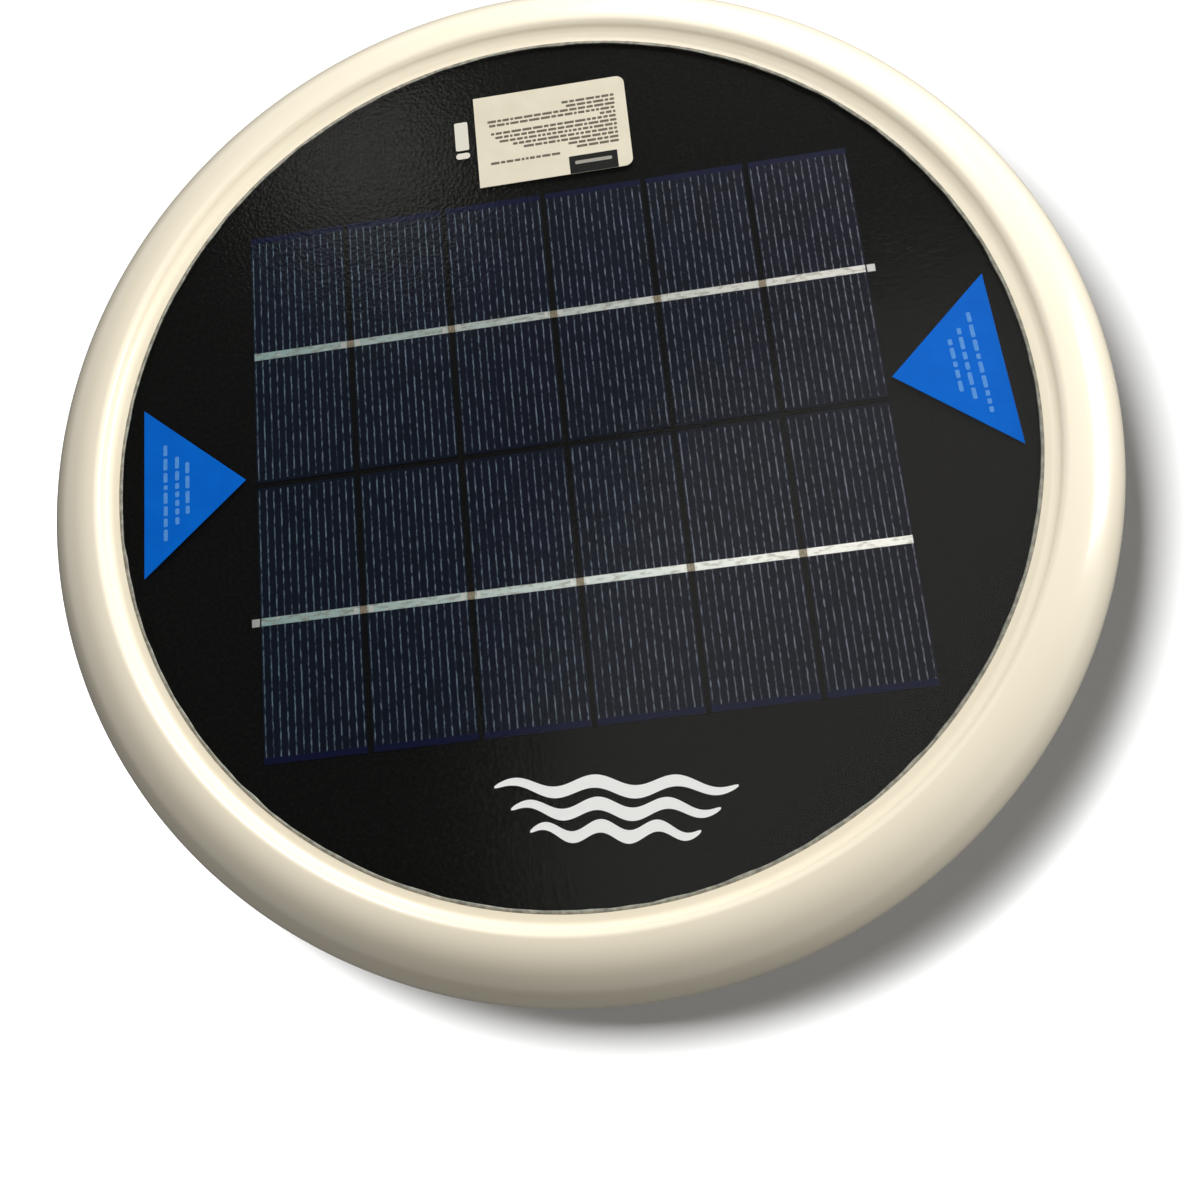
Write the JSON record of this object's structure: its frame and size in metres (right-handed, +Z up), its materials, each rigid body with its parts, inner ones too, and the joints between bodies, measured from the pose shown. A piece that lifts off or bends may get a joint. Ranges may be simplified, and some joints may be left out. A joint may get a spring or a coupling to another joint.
{
  "type": "floating solar pool ioniser",
  "caption": "Round sealed float with a flush photovoltaic disc on top and, below, an anode and coil cathode inside a slotted basket held by a hand knob.",
  "frame": {"origin": "centre of the basket's foot, where the part stands", "axes": "+Z up along the float's axis, +X along the longer side of the cell grid, +Y towards the info sticker"},
  "size_m": [0.3, 0.3, 0.154],
  "materials": {
    "shell": "gloss",
    "rubber": "matte",
    "steel": "satin",
    "board": "satin",
    "cell": "satin",
    "ribbon": "satin",
    "film": "satin",
    "sealant": "matte",
    "blue_sticker": "satin",
    "cream_sticker": "satin",
    "plate": "matte",
    "copper": "satin",
    "black_plastic": "matte",
    "red_wire": "satin",
    "black_wire": "satin",
    "basket": "satin",
    "knob": "satin",
    "brass": "satin",
    "nylon": "satin"
  },
  "bodies": {
    "float": {"float_top_shell": "shell", "float_bottom_shell": "shell", "basket_collar": "shell", "hull_seal_ring": "rubber", "hull_screws": "steel", "panel_board": "board", "solar_cells": "cell", "cell_ribbons": "ribbon", "ribbon_end_pads": "ribbon", "panel_front_film": "film", "panel_edge_sealant": "sealant", "triangle_sticker_left": "blue_sticker", "triangle_sticker_right": "blue_sticker", "info_sticker": "cream_sticker", "centre_stud": "steel", "stud_seal": "rubber", "stud_washer": "steel", "stud_nut": "steel", "anode_washer": "steel", "anode_nut": "steel", "electrode_plate": "plate", "anode": "copper", "cathode_screw": "steel", "cathode_seal": "rubber", "cathode_nut": "steel", "cathode_spring": "steel", "junction_box": "black_plastic", "junction_box_lid": "black_plastic", "blocking_diode": "black_plastic", "stud_terminal": "ribbon", "cathode_terminal": "ribbon", "lead_positive": "red_wire", "lead_negative": "black_wire"},
    "basket": {"basket_cage": "basket", "basket_floor": "basket"},
    "knob": {"knob": "knob", "knob_insert": "brass", "knob_washer": "nylon"}
  },
  "joints": [
    {"name": "basket_travel", "type": "slide", "parent": "float", "child": "basket", "axis": [0, 0, -1], "range_m": [0, 0.0075], "deforming": ["cathode_spring"]},
    {"name": "knob_turn", "type": "hinge", "parent": "basket", "child": "knob", "pos_m": [0, 0, 0.0105], "axis": [0, 0, -1], "range_deg": [0, 2160]}
  ],
  "couplings": [
    {"joint": "knob_turn", "follows": "basket_travel", "rad_per_m": 5026.5}
  ]
}
